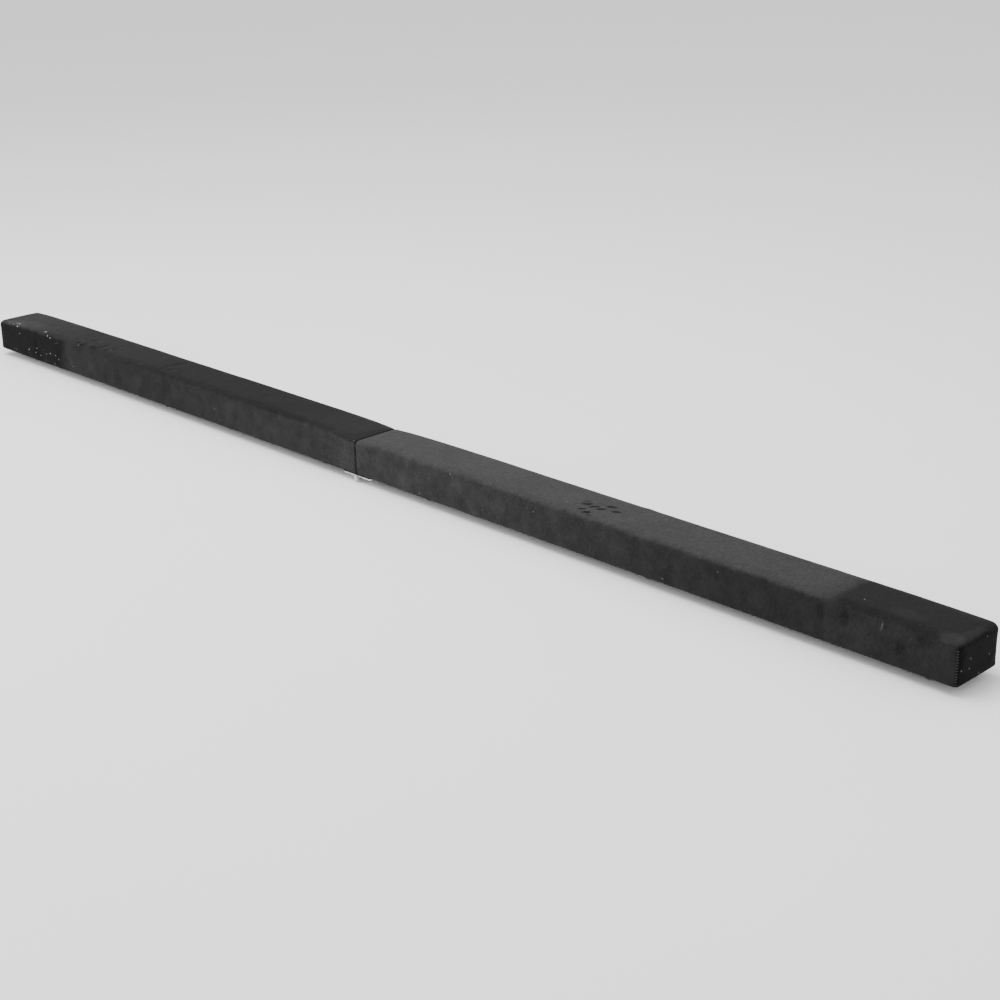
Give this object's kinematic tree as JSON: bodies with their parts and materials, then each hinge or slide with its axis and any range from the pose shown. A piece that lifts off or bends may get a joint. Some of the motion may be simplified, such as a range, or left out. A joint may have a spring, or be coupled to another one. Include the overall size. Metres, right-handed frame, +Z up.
{
  "type": "folding floor balance beam",
  "caption": "Low suede-covered floor balance beam in equal halves that fold under each other on a butt hinge across the underside, standing on small rubber feet.",
  "frame": {"origin": "on the floor, in the middle of the beam, straight below the hinge pin", "axes": "+X along the beam, +Y across it, +Z up"},
  "size_m": [2.4384, 0.1028, 0.0821],
  "materials": {
    "black_suede": "brushed short-nap synthetic suede",
    "foam_padding": "closed-cell foam, matte",
    "pine_board": "planed, unfinished",
    "liner_cloth": "spun-bonded dust cloth",
    "hinge_steel": "zinc plated, satin",
    "zinc_plated_steel": "bright zinc plated",
    "staple_wire": "galvanised wire",
    "black_rubber": "moulded, matte"
  },
  "bodies": {
    "left_section": {"left_back_foam": "foam_padding", "left_base_liner": "liner_cloth", "left_core_screws": "zinc_plated_steel", "left_foot_1": "black_rubber", "left_foot_2": "black_rubber", "left_foot_3": "black_rubber", "left_foot_4": "black_rubber", "left_foot_5": "black_rubber", "left_foot_6": "black_rubber", "left_foot_screws": "zinc_plated_steel", "left_foot_washers": "zinc_plated_steel", "left_front_foam": "foam_padding", "left_hinge_end_foam": "foam_padding", "left_hinge_leaf": "hinge_steel", "left_hinge_screws": "zinc_plated_steel", "left_lower_board": "pine_board", "left_middle_board": "pine_board", "left_outer_end_foam": "foam_padding", "left_staples": "staple_wire", "left_suede_cover": "black_suede", "left_top_foam": "foam_padding", "left_upper_board": "pine_board", "hinge_pin": "hinge_steel"},
    "right_section": {"right_back_foam": "foam_padding", "right_base_liner": "liner_cloth", "right_core_screws": "zinc_plated_steel", "right_foot_1": "black_rubber", "right_foot_2": "black_rubber", "right_foot_3": "black_rubber", "right_foot_4": "black_rubber", "right_foot_5": "black_rubber", "right_foot_6": "black_rubber", "right_foot_screws": "zinc_plated_steel", "right_foot_washers": "zinc_plated_steel", "right_front_foam": "foam_padding", "right_hinge_end_foam": "foam_padding", "right_hinge_leaf": "hinge_steel", "right_hinge_screws": "zinc_plated_steel", "right_lower_board": "pine_board", "right_middle_board": "pine_board", "right_outer_end_foam": "foam_padding", "right_staples": "staple_wire", "right_suede_cover": "black_suede", "right_top_foam": "foam_padding", "right_upper_board": "pine_board"}
  },
  "joints": [
    {"name": "fold", "type": "hinge", "parent": "left_section", "child": "right_section", "pos_m": [0, 0, 0.0077], "axis": [0, 1, 0], "range_deg": [0, 178]}
  ]
}
